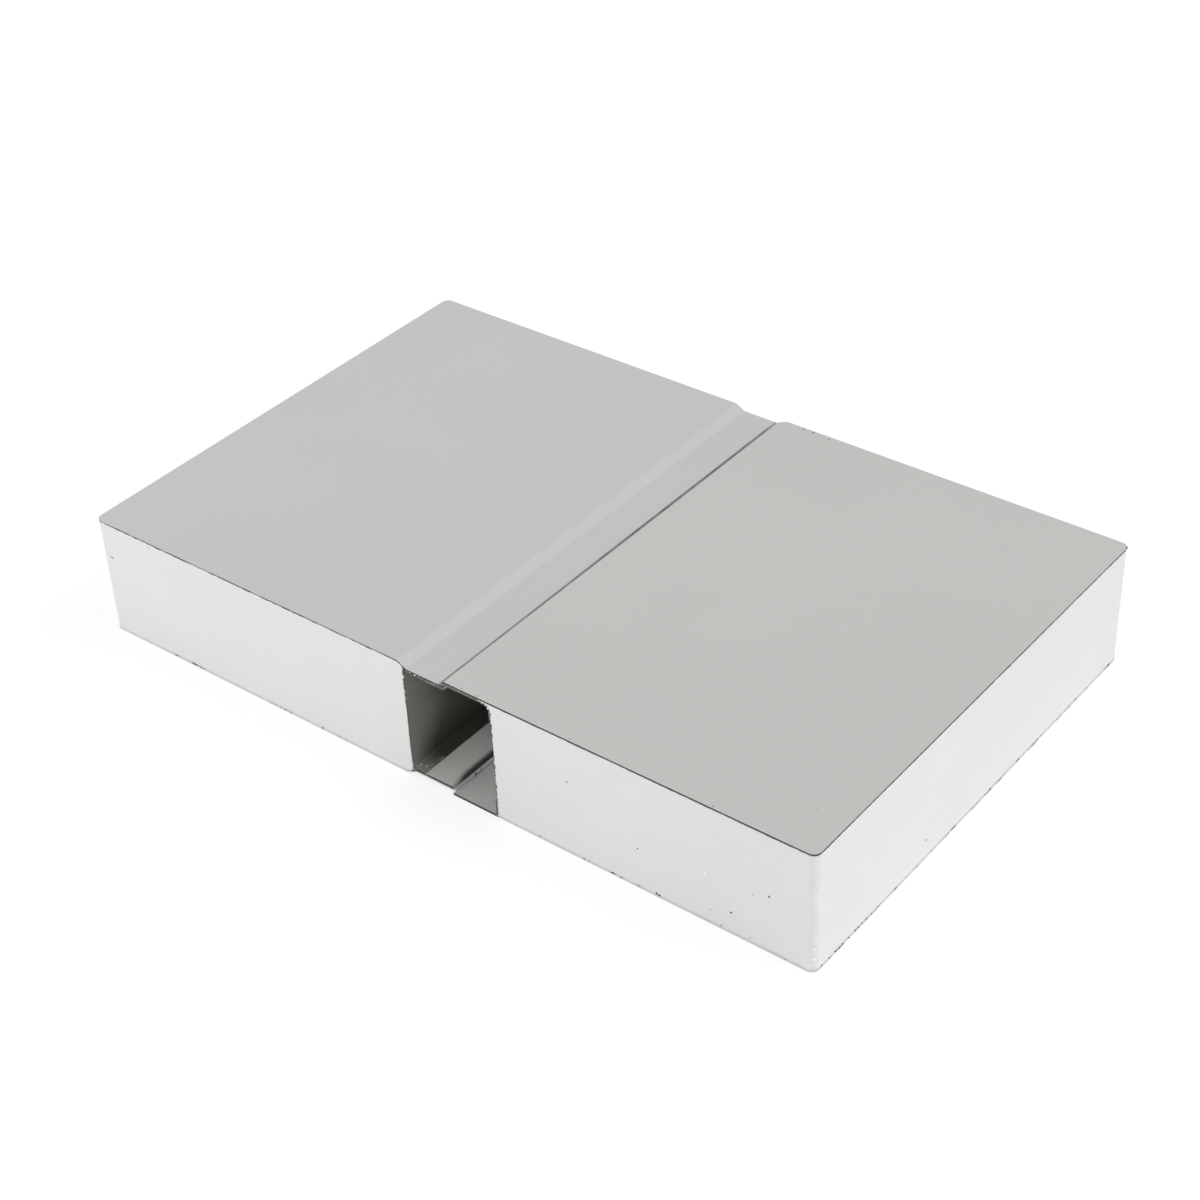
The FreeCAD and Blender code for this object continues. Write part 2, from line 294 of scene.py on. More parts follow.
def foam_block(name, direction, joint_x, joint_at, joint_cell, extra_rows, top_recess, battered, seed):
    """A closed foam block: level loops round it, pushed in by its relief, capped flat at top and bottom."""
    path, front_count = sawn_path(direction, joint_x, CELL)
    joint_count = round(2 * HALF_WIDTH / joint_cell)
    joint_places = np.linspace(HALF_WIDTH, -HALF_WIDTH, joint_count + 1)[1:-1]
    loop = path + [(joint_x, y, -direction, 0.0) for y in joint_places]
    rows = row_heights(extra_rows)
    depths = np.zeros((len(rows), len(loop)))
    depths[:, :len(path)] = sawn_depths(path, rows, top_recess, battered, random.Random(seed))

    blend_x = joint_x + direction * JOINT_BLEND
    points = []
    for j, z in enumerate(rows):
        shift = joint_at(z) - joint_x
        for i, (x, y, nx, ny) in enumerate(loop):
            x_here = x + clamp((blend_x - x) / (blend_x - joint_x)) * shift
            if i < len(path):
                x_here += direction * torn_back(x, y, z, joint_x, seed)
            points.append((x_here - nx * depths[j, i], y - ny * depths[j, i], z))
    faces = block_faces(direction, len(rows), len(loop), len(path), front_count)
    return smooth_mesh(name, points, faces)


# The blocks by the node that each stands for
FOAM_BLOCKS = {
    "left_core": {
        "name": "left_foam_block", "direction": -1,
        "joint_x": LEFT_FACE, "joint_at": left_joint_x, "joint_cell": HIDDEN_CELL, "extra_rows": [],
        "top_recess": 0.25, "battered": False, "seed": 11,
    },
    "right_core": {
        "name": "right_foam_block", "direction": 1,
        "joint_x": RIGHT_FACE, "joint_at": right_joint_x, "joint_cell": SEEN_JOINT_CELL,
        "extra_rows": [
            UPPER_RETURN_LEG, UPPER_RETURN_LEG + SHELF,
            LOWER_RETURN_LEG - SHELF, LOWER_RETURN_LEG,
        ],
        "top_recess": 0.6, "battered": True, "seed": 23,
    },
}


# Small bits: dust, crumbs, grit, saw burrs and a curl

def ball_form():
    """The points and faces of a small round form to make lumps from."""
    grid = bmesh.new()
    bmesh.ops.create_icosphere(grid, subdivisions=2, radius=1.0)
    points = [vertex.co.copy() for vertex in grid.verts]
    faces = [tuple(vertex.index for vertex in face.verts) for face in grid.faces]
    grid.free()
    return points, faces


BALL_POINTS, BALL_FACES = ball_form()
LUMP_ROUGHNESS, LUMP_DETAIL = 0.45, 1.4
LUMP_STRETCH, LUMP_SHIFT = (0.65, 1.1), (-40, 40)


class Bits:
    """Many small closed forms gathered into one piece."""

    def __init__(self):
        self.points = []
        self.faces = []

    def add(self, points, faces):
        start = len(self.points)
        self.points += points
        self.faces += [tuple(start + index for index in face) for face in faces]

    def add_lump(self, draws, centre, size):
        """Add an irregular lump of about a size across."""
        turn = Euler([draws.uniform(0, math.tau) for _ in range(3)]).to_matrix()
        stretch = Vector([draws.uniform(*LUMP_STRETCH) for _ in range(3)])
        shift = Vector([draws.uniform(*LUMP_SHIFT) for _ in range(3)])
        points = []
        for point in BALL_POINTS:
            reach = size / 2 * (1 + LUMP_ROUGHNESS * noise.noise(point * LUMP_DETAIL + shift))
            local = turn @ (point * stretch) * reach
            points.append((centre[0] + local.x, centre[1] + local.y, centre[2] + local.z))
        self.add(points, BALL_FACES)

    def add_run(self, sections, turned=False):
        """Add a closed form through a run of four-cornered sections, its faces turned over where asked."""
        faces = []
        end = 4 * (len(sections) - 1)
        for start in range(0, end, 4):
            for side in range(4):
                after = (side + 1) % 4
                faces.append((start + side, start + 4 + side, start + 4 + after, start + after))
        faces += [(0, 1, 2, 3), (end + 3, end + 2, end + 1, end)]
        if turned:
            faces = [face[::-1] for face in faces]
        self.add([point for section in sections for point in section], faces)

    def piece(self, name, grain):
        bits = smooth_mesh(name, self.points, self.faces)
        bits.data.materials.append(grain_material(grain))
        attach(bits, "root")


# The upper hems: the height of the middle of each, and where it starts and ends
HEMS = ((49.15, 11.4, 25.2), (46.95, -2.0, 9.6))
DUST_SEED, DUST_COUNT, DUST_SIZES = 5, 46, (0.30, 0.62)
DUST_INSETS, DUST_SCATTER = (0.15, 0.9), (-0.1, 0.1)


def hem_dust():
    """Saw dust and crumbs packed into the ends of the two upper hems."""
    draws = random.Random(DUST_SEED)
    bits = Bits()
    for middle, start, end in HEMS:
        for _ in range(DUST_COUNT):
            for side in (-1, 1):
                x = draws.uniform(start, end)
                y = side * (HALF_WIDTH - draws.uniform(*DUST_INSETS))
                z = middle + draws.uniform(*DUST_SCATTER)
                bits.add_lump(draws, (x, y, z), draws.uniform(*DUST_SIZES))
    bits.piece("hem_dust", "dust_grey")


CRUMB_SEED = 6
# Crumbs in the upper hem, on the channel's foot, on the top skin's edge, round the lip and on the right end,
# as x, y, z and size
LOOSE_CRUMBS = [
    (-8.2, -100.1, 47.3, 1.1), (-4.4, -100.0, 47.1, 0.55), (-2.2, -100.0, 47.05, 0.75),
    (-3.2, -99.95, 46.75, 0.35), (-5.4, -99.95, 47.0, 0.35), (-6.3, -99.95, 46.95, 0.4),
    (-6.4, -97.5, 3.75, 0.7), (-4.3, -96.8, 3.75, 0.5), (-7.0, -98.6, 3.75, 0.4), (2.5, -98.8, 3.8, 0.3),
    (-3.5, -94.9, 3.75, 0.4), (-2.9, -91.4, 3.8, 0.35), (-2.7, -90.3, 3.8, 0.4),
    (14.3, -99.7, 50.05, 0.36), (17.2, -99.7, 50.05, 0.4), (20.3, -99.75, 50.05, 0.34),
    (27.6, -99.98, 48.7, 0.65), (28.8, -99.98, 48.4, 0.6), (29.9, -99.98, 47.4, 0.7),
    (30.75, -99.95, 46.2, 0.6), (30.9, -99.9, 44.3, 0.55), (31.0, -99.9, 30.2, 0.6),
    (30.9, -99.9, 21.0, 0.5), (31.1, -99.9, 12.4, 0.8), (159.75, -94.6, 19.2, 1.0),
]
# Crumbs half torn out of the front face, as x, z and size, and the share of its size that each is sunk
FRONT_CRUMBS = [
    (77.9, 24.3, 1.6), (45.0, 18.2, 1.4), (48.6, 14.2, 1.3), (118.4, 20.8, 1.5),
    (87.6, 20.1, 1.4), (136.0, 22.2, 1.5), (135.4, 10.4, 1.3), (119.7, 6.6, 1.3),
]
CRUMB_SUNK = 0.08
# Crumbs down the battered corner, as z and size
CORNER_CRUMBS = [(43.6, 0.7), (30.0, 0.8), (9.5, 1.2), (5.3, 1.4), (14.0, 0.7), (32.5, 0.6), (25.0, 0.6)]


def on_front(x, z, sunk=0.0):
    """The place on the cut foam's front face at x and z, or a little way into it."""
    return x, -HALF_WIDTH + foam_relief(x, -HALF_WIDTH, z, 0.0, -1.0) + sunk, z


def foam_crumbs():
    """White crumbs of foam, loose or half torn out, where the photograph shows them."""
    draws = random.Random(CRUMB_SEED)
    bits = Bits()
    for x, y, z, size in LOOSE_CRUMBS:
        bits.add_lump(draws, (x, y, z), size)
    for x, z, size in FRONT_CRUMBS:
        bits.add_lump(draws, on_front(x, z, size * CRUMB_SUNK), size)
    inset = BASE_INSET + BATTERED_DEPTH + CUT_CORNER_RADIUS * (1 - math.sqrt(0.5))
    for z, size in CORNER_CRUMBS:
        bits.add_lump(draws, (SAWN_END - inset, -HALF_WIDTH + inset, z), size)
    bits.piece("foam_crumbs", "crumb_white")


GRIT_SEED = 8
# Specks on the front face, as x, z and size
FRONT_GRIT = [
    (62.3, 31.6, 0.70), (90.9, 17.2, 0.68), (142.7, 24.1, 0.85), (128.1, 9.3, 0.72), (119.8, 6.0, 0.42),
    (135.6, 9.8, 0.48), (136.4, 21.4, 0.4), (-51.2, 1.2, 0.4), (-131.9, 48.0, 0.35), (98.2, 1.35, 0.95),
    (99.3, 1.1, 0.8), (124.1, 1.5, 0.5), (135.4, 2.2, 0.5), (49.0, 0.8, 0.5), (70.2, 0.9, 0.35),
    (80.1, 0.9, 0.35), (90.8, 0.8, 0.45),
]
# Specks on the right end, as y, z and size
END_GRIT = [
    (-33.9, 8.4, 0.5), (-95.6, 0.7, 0.5), (-91.4, 0.65, 0.45), (-87.9, 0.8, 0.7), (-87.0, 0.95, 0.45),
    (-83.7, 0.7, 0.45), (-80.2, 0.7, 0.55), (-76.0, 0.65, 0.4), (-72.2, 0.7, 0.5), (-62.7, 0.7, 0.5),
]
# Specks on the top skins, as x, y and size, and the share of its size that the middle of each is above them
SKIN_GRIT = [
    (18.2, -99.1, 0.4), (25.2, -99.1, 0.35), (64.0, -98.9, 0.35), (121.0, -99.2, 0.35),
    (22.0, 98.7, 0.5), (26.4, 98.9, 0.6), (33.9, 98.3, 0.4),
]
SKIN_GRIT_RAISED = 0.2
# The burr at the far right corner
CORNER_BURR, CORNER_BURR_SIZE = (159.62, 98.3, 49.72), 0.95
# The grit down the right foam's torn edge
JOINT_GRIT_COUNT, JOINT_GRIT_HEIGHTS, JOINT_GRIT_SIZES = 34, (3, 42), (0.26, 0.52)
JOINT_GRIT_X, JOINT_GRIT_SPREAD, JOINT_GRIT_Y = 30.62, 0.16, -99.92


def cut_grit():
    """Dark specks of steel and paint, half set in the cut foam and lying on the skins near the saw's cut."""
    draws = random.Random(GRIT_SEED)
    bits = Bits()
    for x, z, size in FRONT_GRIT:
        bits.add_lump(draws, on_front(x, z), size)
    for y, z, size in END_GRIT:
        bits.add_lump(draws, (SAWN_END - foam_relief(SAWN_END, y, z, 1.0, 0.0), y, z), size)
    for x, y, size in SKIN_GRIT:
        bits.add_lump(draws, (x, y, TOP_FACE + size * SKIN_GRIT_RAISED), size)
    bits.add_lump(draws, CORNER_BURR, CORNER_BURR_SIZE)
    for _ in range(JOINT_GRIT_COUNT):
        z = draws.uniform(*JOINT_GRIT_HEIGHTS)
        x = JOINT_GRIT_X + abs(draws.gauss(0, JOINT_GRIT_SPREAD))
        bits.add_lump(draws, (x, JOINT_GRIT_Y, z), draws.uniform(*JOINT_GRIT_SIZES))
    bits.piece("cut_grit", "grit_dark")


FIN_STEP, FIN_THICKNESS, FIN_PROUD, FIN_ROOT = 0.45, 0.10, 0.02, 0.06
FIN_LEAST = 0.05
# The noises that a fin's height is made of: the share, length and slice of each
FIN_WAVES = ((1.0, 1.7, 0.0), (0.6, 0.6, 4.0), (0.5, 14.0, 9.0))
# How far the outline has turned towards the end where a fin's mean height starts to change, and has changed
FIN_TURN = 0.2, 0.8
# The fins' runs: which length, where it starts, the skin's height, up or down, the mean heights along the
# front and the end, their spread, and a seed. A mean below zero leaves only the tallest fins.
FIN_RUNS = (
    (-1, -9.0, CORE_TOP, -1, 0.07, 0.08, 0.16, 1.5),
    (1, 25.5, CORE_TOP, -1, 0.20, 0.18, 0.14, 3.5),
    (-1, -9.0, CORE_BOTTOM, 1, -0.26, -0.16, 0.60, 5.5),
    (1, 31.5, CORE_BOTTOM, 1, -0.30, -0.16, 0.55, 7.5),
)


def add_fins(bits, path, heights, direction, base_z, rise):
    """Add the ragged fins that the saw left along a sheet's edge, wherever they are tall enough to show."""
    root = base_z - rise * FIN_ROOT
    sections = []
    for place, height in zip(path + [None], heights + [0.0]):
        if height > FIN_LEAST:
            x, y, nx, ny = place
            tip = base_z + rise * height
            corners = ((-FIN_PROUD, root), (-FIN_PROUD, tip), (FIN_THICKNESS, tip), (FIN_THICKNESS, root))
            sections.append([(x - nx * inward, y - ny * inward, z) for inward, z in corners])
            continue
        if len(sections) > 1:
            bits.add_run(sections, turned=direction * rise < 0)
        sections = []


def edge_burrs():
    """The ragged fins that the saw dragged over the foam, under the top skins and over the bottom ones."""
    bits = Bits()
    for direction, joint_x, base_z, rise, front_mean, end_mean, spread, seed in FIN_RUNS:
        path, _ = sawn_path(direction, joint_x, FIN_STEP)
        heights = []
        for along, place in zip(path_lengths(path), path):
            mean = front_mean + (end_mean - front_mean) * fade(abs(place[2]), *FIN_TURN)
            waves = [share * rough(along / length, seed, part) for share, length, part in FIN_WAVES]
            heights.append(mean + spread * sum(waves))
        add_fins(bits, path, heights, direction, base_z, rise)
    bits.piece("edge_burrs", "burr_steel")


CURL_START, CURL_RUN = (11.1, -90.3, 1.2), (-0.5, 5.0)
CURL_TURNS, CURL_RADIUS, CURL_STEPS = 1.6, 0.5, 28
CURL_WIDTH, CURL_THICKNESS = 0.55, 0.08
# The share of its width that the curl keeps at its tips, and the share of its length that each tip takes
CURL_TIP_WIDTH, CURL_TIP = 0.35, 0.05


def steel_curl():
    """A curled sliver of painted steel that lies on the right length's lower strip, beside its edge."""
    bits = Bits()
    sections = []
    for k in range(CURL_STEPS + 1):
        t = k / CURL_STEPS
        turn = math.tau * CURL_TURNS * t
        x = CURL_START[0] + CURL_RUN[0] * t + CURL_RADIUS * math.sin(turn)
        y = CURL_START[1] + CURL_RUN[1] * t
        z = CURL_START[2] + CURL_RADIUS * (1 - math.cos(turn))
        swell = math.sin(math.pi * clamp(t, CURL_TIP, 1 - CURL_TIP))
        width = CURL_WIDTH * (CURL_TIP_WIDTH + (1 - CURL_TIP_WIDTH) * swell)
        sx, sz = math.cos(turn) * width / 2, math.sin(turn) * width / 2
        tx, tz = -math.sin(turn) * CURL_THICKNESS / 2, math.cos(turn) * CURL_THICKNESS / 2
        sections.append([(x - sx - tx, y, z - sz - tz), (x + sx - tx, y, z + sz - tz),
                         (x + sx + tx, y, z + sz + tz), (x - sx + tx, y, z - sz + tz)])
    bits.add_run(sections)
    # Its colour mottles between a painted highlight and a painted shade
    bits.piece("steel_curl", "curl_paint_and_light")


# Materials. Their sizes and places are in metres, which is what the nodes work in.

# A noise is given as scale, detail and roughness. Most of its values lie in the first range here.
NOISE_RANGE, WIDE_RANGE = (0.3, 0.7), (0.25, 0.75)
# Over how far one finish changes into another
EDGE_BLUR = 0.0001

# The grey of the two soft marks, the noise that breaks their outline, and their fading from middle to edge
SMUDGE = (0.34, 0.34, 0.33)
SMUDGE_NOISE, SMUDGE_BREAK, SMUDGE_FADE = (1400.0, 3.0), 0.3, (0.45, 1.1)


class Graph:
    """Short names for adding and joining shader nodes."""

    def __init__(self, tree):
        self.tree = tree

    def add(self, kind, **values):
        node = self.tree.nodes.new(kind)
        for key, value in values.items():
            setattr(node, key, value)
        return node

    def join(self, source, target):
        self.tree.links.new(source, target)

    def put(self, value, socket):
        if isinstance(value, bpy.types.NodeSocket):
            self.join(value, socket)
        else:
            socket.default_value = value

    def math(self, operation, a, b=0.0, clamped=False):
        node = self.add("ShaderNodeMath", operation=operation, use_clamp=clamped)
        self.put(a, node.inputs[0])
        self.put(b, node.inputs[1])
        return node.outputs[0]

    def plus(self, a, b):
        return self.math("ADD", a, b)

    def minus(self, a, b):
        return self.math("SUBTRACT", a, b)

    def times(self, product, *factors):
        for factor in factors:
            product = self.math("MULTIPLY", product, factor)
        return product

    def size_of(self, value):
        return self.math("ABSOLUTE", value)

    def ramp(self, value, low, high, low_out=0.0, high_out=1.0):
        """Map a value between two limits to two others, smoothly."""
        node = self.add("ShaderNodeMapRange", interpolation_type="SMOOTHSTEP")
        self.put(value, node.inputs["Value"])
        limits = zip(("From Min", "From Max", "To Min", "To Max"), (low, high, low_out, high_out))
        for socket, number in limits:
            self.put(number, node.inputs[socket])
        return node.outputs["Result"]

    def within(self, value, low, high, blur):
        """1 where a value is between two limits, fading out over a blur outside them."""
        rises = self.ramp(value, low - blur, low)
        falls = self.ramp(value, high, high + blur, 1.0, 0.0)
        return self.times(rises, falls)

    def mix(self, factor, a, b):
        node = self.add("ShaderNodeMix", data_type="RGBA")
        self.put(factor, node.inputs["Factor"])
        for value, socket in ((a, node.inputs[6]), (b, node.inputs[7])):
            self.put((*value, 1.0) if isinstance(value, tuple) else value, socket)
        return node.outputs[2]

    def noise(self, where, scale, detail=2.0, roughness=0.5):
        node = self.add("ShaderNodeTexNoise")
        self.join(where, node.inputs["Vector"])
        node.inputs["Scale"].default_value = scale
        node.inputs["Detail"].default_value = detail
        node.inputs["Roughness"].default_value = roughness
        return node.outputs["Fac"]

    def stretched(self, where, factors):
        node = self.add("ShaderNodeMapping")
        self.join(where, node.inputs["Vector"])
        node.inputs["Scale"].default_value = factors
        return node.outputs["Vector"]

    def beads(self, where, scale, feature):
        node = self.add("ShaderNodeTexVoronoi", feature=feature)
        self.join(where, node.inputs["Vector"])
        node.inputs["Scale"].default_value = scale
        return node.outputs

    def smudge(self, where, middle, reach):
        """1 in the middle of a soft mark, 0 beyond its reach along each axis, with a broken outline."""
        node = self.add("ShaderNodeMapping")
        self.join(where, node.inputs["Vector"])
        node.inputs["Location"].default_value = [-place / size for place, size in zip(middle, reach)]
        node.inputs["Scale"].default_value = [1 / size for size in reach]
        length = self.add("ShaderNodeVectorMath", operation="LENGTH")
        self.join(node.outputs["Vector"], length.inputs[0])
        broken = self.ramp(self.noise(where, *SMUDGE_NOISE), *NOISE_RANGE, -SMUDGE_BREAK, SMUDGE_BREAK)
        return self.ramp(self.plus(length.outputs["Value"], broken), *SMUDGE_FADE, 1.0, 0.0)

    def bump(self, height, distance, strength=1.0, below=None):
        node = self.add("ShaderNodeBump")
        self.join(height, node.inputs["Height"])
        node.inputs["Distance"].default_value = distance
        node.inputs["Strength"].default_value = strength
        if below is not None:
            self.join(below, node.inputs["Normal"])
        return node.outputs["Normal"]

    def place(self):
        return self.add("ShaderNodeTexCoord").outputs["Object"]

    def axes(self, vector):
        node = self.add("ShaderNodeSeparateXYZ")
        self.join(vector, node.inputs[0])
        return node.outputs

    def true_normal(self):
        return self.axes(self.add("ShaderNodeNewGeometry").outputs["True Normal"])


def new_material(name):
    """A new material, the graph of its nodes, and its shader."""
    material = bpy.data.materials.new(name)
    material.use_nodes = True
    tree = material.node_tree
    return material, Graph(tree), tree.nodes["Principled BSDF"]


# Sawn metal edges: how far a face turns to the front or back to be one, the steel, and the dust on it
CUT_TURN = 0.55, 0.75
BARE_STEEL, FOAM_DUST = (0.042, 0.042, 0.040), (0.74, 0.74, 0.73)
# At the sample's two ends, a face that is upright enough is a sawn one too
END_START, UPRIGHT_TURN = 0.1567, (0.35, 0.5)
STREAKS, STREAK_STRETCH = (170.0, 3.0, 0.6), (1.0, 1.0, 0.2)
# The joint's hollow, where the edges are bare, and its lip, where some dust is left
HOLLOW_START, HOLLOW_END, HOLLOW_BLUR = -0.0085, 0.0305, 0.0004
LIP_START, LIP_END = 0.0300, 0.0306
LIP_LOW, LIP_HIGH, LIP_BLUR = 0.0425, 0.0462, 0.0006
LIP_STREAKS, LIP_DUST = (0.3, 0.6), (0.12, 0.40)
# The folded layer's edge
FOLD_DARK, FOLD_PALE = (0.08, 0.08, 0.076), (0.24, 0.24, 0.23)
FOLD_MOTTLE, FOLD_BLUR = (700.0, 3.0, 0.6), 0.00005


def sawn_edge_colour(graph, where, axes, look):
    """The colour of a skin's sawn edge: bare steel, foam dust, and its folded layer paler in the joint."""
    x, _, z = axes
    streaks = graph.noise(graph.stretched(where, STREAK_STRETCH), *STREAKS)
    front_dust = graph.ramp(streaks, *look["front_dust"])
    end_dust = graph.ramp(streaks, *look["end_dust"])
    at_end = graph.ramp(graph.size_of(x), END_START, END_START + 2 * EDGE_BLUR)
    dust = graph.plus(graph.times(at_end, end_dust), graph.times(graph.minus(1.0, at_end), front_dust))
    in_hollow = graph.within(x, HOLLOW_START, HOLLOW_END, HOLLOW_BLUR)
    dust = graph.times(dust, graph.minus(1.0, in_hollow))
    on_lip = graph.times(graph.within(x, LIP_START, LIP_END, EDGE_BLUR),
                         graph.within(z, LIP_LOW, LIP_HIGH, LIP_BLUR))
    lip_dust = graph.times(on_lip, graph.ramp(streaks, *LIP_STREAKS, *LIP_DUST))
    edge = graph.mix(graph.math("MAXIMUM", dust, lip_dust), BARE_STEEL, FOAM_DUST)
    if look["fold_below"] is None:
        return edge
    folded = graph.ramp(z, look["fold_below"], look["fold_below"] + FOLD_BLUR, 1.0, 0.0)
    mottle = graph.ramp(graph.noise(where, *FOLD_MOTTLE), *look["fold_mottle"])
    return graph.mix(folded, edge, graph.mix(mottle, FOLD_DARK, FOLD_PALE))


# Painted shade, with some dirt, along the seam: wider and heavier away from the front, patchy, and paler at
# the far end
SEAM_SHADE_AND_DIRT = (0.10, 0.10, 0.095)
SEAM_MIDDLE, SEAM_REACH, SEAM_BLUR, SEAM_WIDENING = 0.00945, 0.00105, 0.0005, 0.0003
SEAM_SHADE_RUN, SEAM_SHADE_SHARES = (-0.1, 0.02), (0.84, 1.05)
PATCHES, PATCH_SHARES = (150.0, 5.0, 0.7), (0.74, 1.02)
SEAM_PALER_RUN, SEAM_PALER_SHARE = (0.084, 0.1), 0.62


def shade_seam_with_dirt(graph, paint, where, axes, lowest):
    """The paint with painted shade and some dirt on both sides of the seam, above a lowest height."""
    x, y, z = axes
    from_seam = graph.size_of(graph.minus(x, SEAM_MIDDLE))
    spread = graph.minus(from_seam, graph.ramp(y, *SEAM_SHADE_RUN, 0.0, SEAM_WIDENING))
    seam_shaded = graph.ramp(spread, SEAM_REACH, SEAM_REACH + SEAM_BLUR, 1.0, 0.0)
    above = graph.ramp(z, lowest, lowest + EDGE_BLUR)
    patchy = graph.ramp(graph.noise(where, *PATCHES), *NOISE_RANGE, *PATCH_SHARES)
    seam_paler = graph.ramp(y, *SEAM_PALER_RUN, 1.0, SEAM_PALER_SHARE)
    most = graph.times(graph.ramp(y, *SEAM_SHADE_RUN, *SEAM_SHADE_SHARES), patchy, seam_paler)
    return graph.mix(graph.times(seam_shaded, above, most), paint, SEAM_SHADE_AND_DIRT)


# Painted shade in a dark band along the lower tongue's fold, narrower and paler at the front
FOLD_SHADE, BAND_RANGE = (0.045, 0.045, 0.04), (0.0074, 0.0101)
BAND_NARROWING, BAND_NARROW_RUN = 0.0014, (-0.1, -0.09)
BAND_SHARES, BAND_PALE_RUN = (0.6, 1.0), (-0.1, -0.094)


def paint_fold_shade(graph, paint, x, y):
    """The paint with the painted shade in a band along the lower tongue's fold."""
    narrowing = graph.ramp(y, *BAND_NARROW_RUN, BAND_NARROWING, 0.0)
    dark = graph.ramp(graph.minus(x, narrowing), *BAND_RANGE)
    return graph.mix(graph.times(dark, graph.ramp(y, *BAND_PALE_RUN, *BAND_SHARES)), paint, FOLD_SHADE)


# The skins' paint: satin pale grey with orange peel, faint scuffs, and chips along the saw's cut
PAINT_TONE, PAINT_SPECKLE, PAINT_PEEL = (9.0, 3.0), (260.0, 4.0, 0.65), (1500.0, 2.0)
SCUFF, SCUFF_RANGE, SCUFF_MOST = (0.60, 0.61, 0.60), (0.72, 0.9), 0.25
CHIPS, CHIP_RANGE, CHIP_WIDTHS, CHIP_SHARE = (900.0, 3.0), (0.5, 0.75), (0.00004, 0.00028), 0.45
SKIN_SMUDGE, SKIN_SMUDGE_SHARE = ((0.1482, -0.0820, 0.0500), (0.0009, 0.0008, 0.0004)), 0.3
PAINT_ROUGHNESS, SPECKLE_RANGE, SPECKLE_ROUGHNESS = (0.40, 0.46), (0.3, 0.8), 0.05
CUT_METALLIC, CUT_ROUGHNESS = 0.3, 0.18
PEEL_BUMP, SPECKLE_BUMP, SAW_BUMP = (0.00001, 0.35), (0.00003, 0.3), (0.00008, 0.6)
SAW_MARKS, SAW_STRETCH = (2600.0, 3.0), (1.0, 1.0, 0.08)


def skin_material(name, look):
    """Coil coating on steel. The sawn edges are bare steel, more or less dusted with foam."""
    material, graph, shader = new_material(name)
    where = graph.place()
    x, y, z = graph.axes(where)
    _, ny, nz = graph.true_normal()
    across = graph.ramp(graph.size_of(ny), *CUT_TURN)
    upright = graph.ramp(graph.size_of(nz), *UPRIGHT_TURN, 1.0, 0.0)
    at_end = graph.ramp(graph.size_of(x), END_START - EDGE_BLUR, END_START + EDGE_BLUR)
    cut = graph.math("MAXIMUM", across, graph.times(upright, at_end))

    tone = graph.noise(where, *PAINT_TONE)
    speckle = graph.noise(where, *PAINT_SPECKLE)
    peel = graph.noise(where, *PAINT_PEEL)
    paint = graph.mix(graph.ramp(tone, *NOISE_RANGE), *look["paint"])
    paint = graph.mix(graph.ramp(speckle, *SCUFF_RANGE, 0.0, SCUFF_MOST), paint, SCUFF)
    side_gap = graph.minus(HALF_WIDTH * MM, graph.size_of(y))
    end_gap = graph.minus(SAWN_END * MM, graph.size_of(x))
    chip_width = graph.ramp(graph.noise(where, *CHIPS), *CHIP_RANGE, *CHIP_WIDTHS)
    chipped = graph.math("LESS_THAN", graph.math("MINIMUM", side_gap, end_gap), chip_width)
    paint = graph.mix(graph.times(chipped, CHIP_SHARE), paint, SCUFF)
    # Painted shade, with some dirt, darkens the seam
    if look["seam_shade_above"] is not None:
        paint = shade_seam_with_dirt(graph, paint, where, (x, y, z), look["seam_shade_above"])
    # Painted shade along the lower tongue's fold
    if look["fold_shade"]:
        paint = paint_fold_shade(graph, paint, x, y)
    paint = graph.mix(graph.times(graph.smudge(where, *SKIN_SMUDGE), SKIN_SMUDGE_SHARE), paint, SMUDGE)
    edge = sawn_edge_colour(graph, where, (x, y, z), look)
    graph.join(graph.mix(cut, paint, edge), shader.inputs["Base Color"])

    graph.join(graph.times(cut, CUT_METALLIC), shader.inputs["Metallic"])
    roughness = graph.ramp(tone, *WIDE_RANGE, *PAINT_ROUGHNESS)
    roughness = graph.plus(roughness, graph.ramp(speckle, *SPECKLE_RANGE, 0.0, SPECKLE_ROUGHNESS))
    roughness = graph.math("ADD", roughness, graph.times(cut, CUT_ROUGHNESS), clamped=True)
    graph.join(roughness, shader.inputs["Roughness"])
    surface = graph.bump(peel, *PEEL_BUMP)
    surface = graph.bump(speckle, *SPECKLE_BUMP, surface)
    saw_marks = graph.noise(graph.stretched(where, SAW_STRETCH), *SAW_MARKS)
    surface = graph.bump(graph.times(saw_marks, cut), *SAW_BUMP, surface)
    graph.join(surface, shader.inputs["Normal"])
    return material


